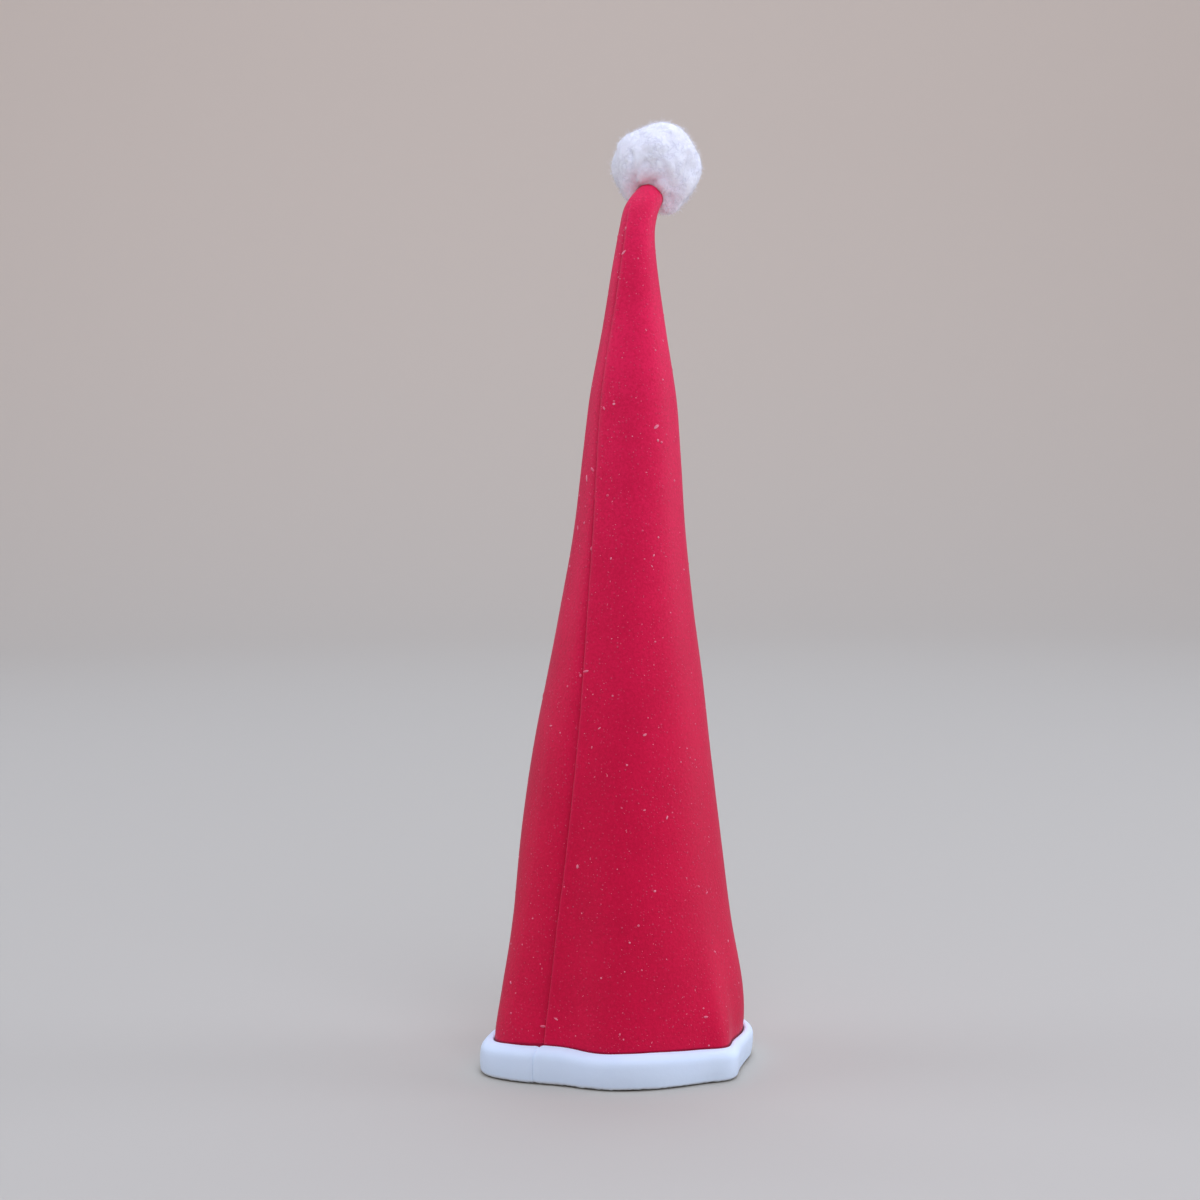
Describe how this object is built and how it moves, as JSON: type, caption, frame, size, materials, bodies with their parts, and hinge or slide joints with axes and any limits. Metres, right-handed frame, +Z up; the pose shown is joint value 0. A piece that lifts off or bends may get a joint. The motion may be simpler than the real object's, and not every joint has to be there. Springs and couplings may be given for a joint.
{
  "type": "miniature santa hat",
  "caption": "Tall slender doll-size santa hat: a hollow cone rolled from red craft foam, with a white foam strip round its open foot and a white cotton ball on its hooked tip.",
  "frame": {"origin": "centre of the underside of the hat's box, on the surface that the open foot stands on", "axes": "+Z up along the hat's height, -Y the front with the seam to its left, +X the hat's right as seen from the front"},
  "size_m": [0.0422, 0.035, 0.1446],
  "materials": {
    "red_foam": "matte craft foam with tiny pale pores",
    "white_foam": "matte craft foam, softly rounded cut edges",
    "cotton": "fluffy cotton wool"
  },
  "bodies": {
    "root": {"crown": "red_foam", "foot_strip": "white_foam", "cotton_ball": "cotton"}
  },
  "joints": []
}
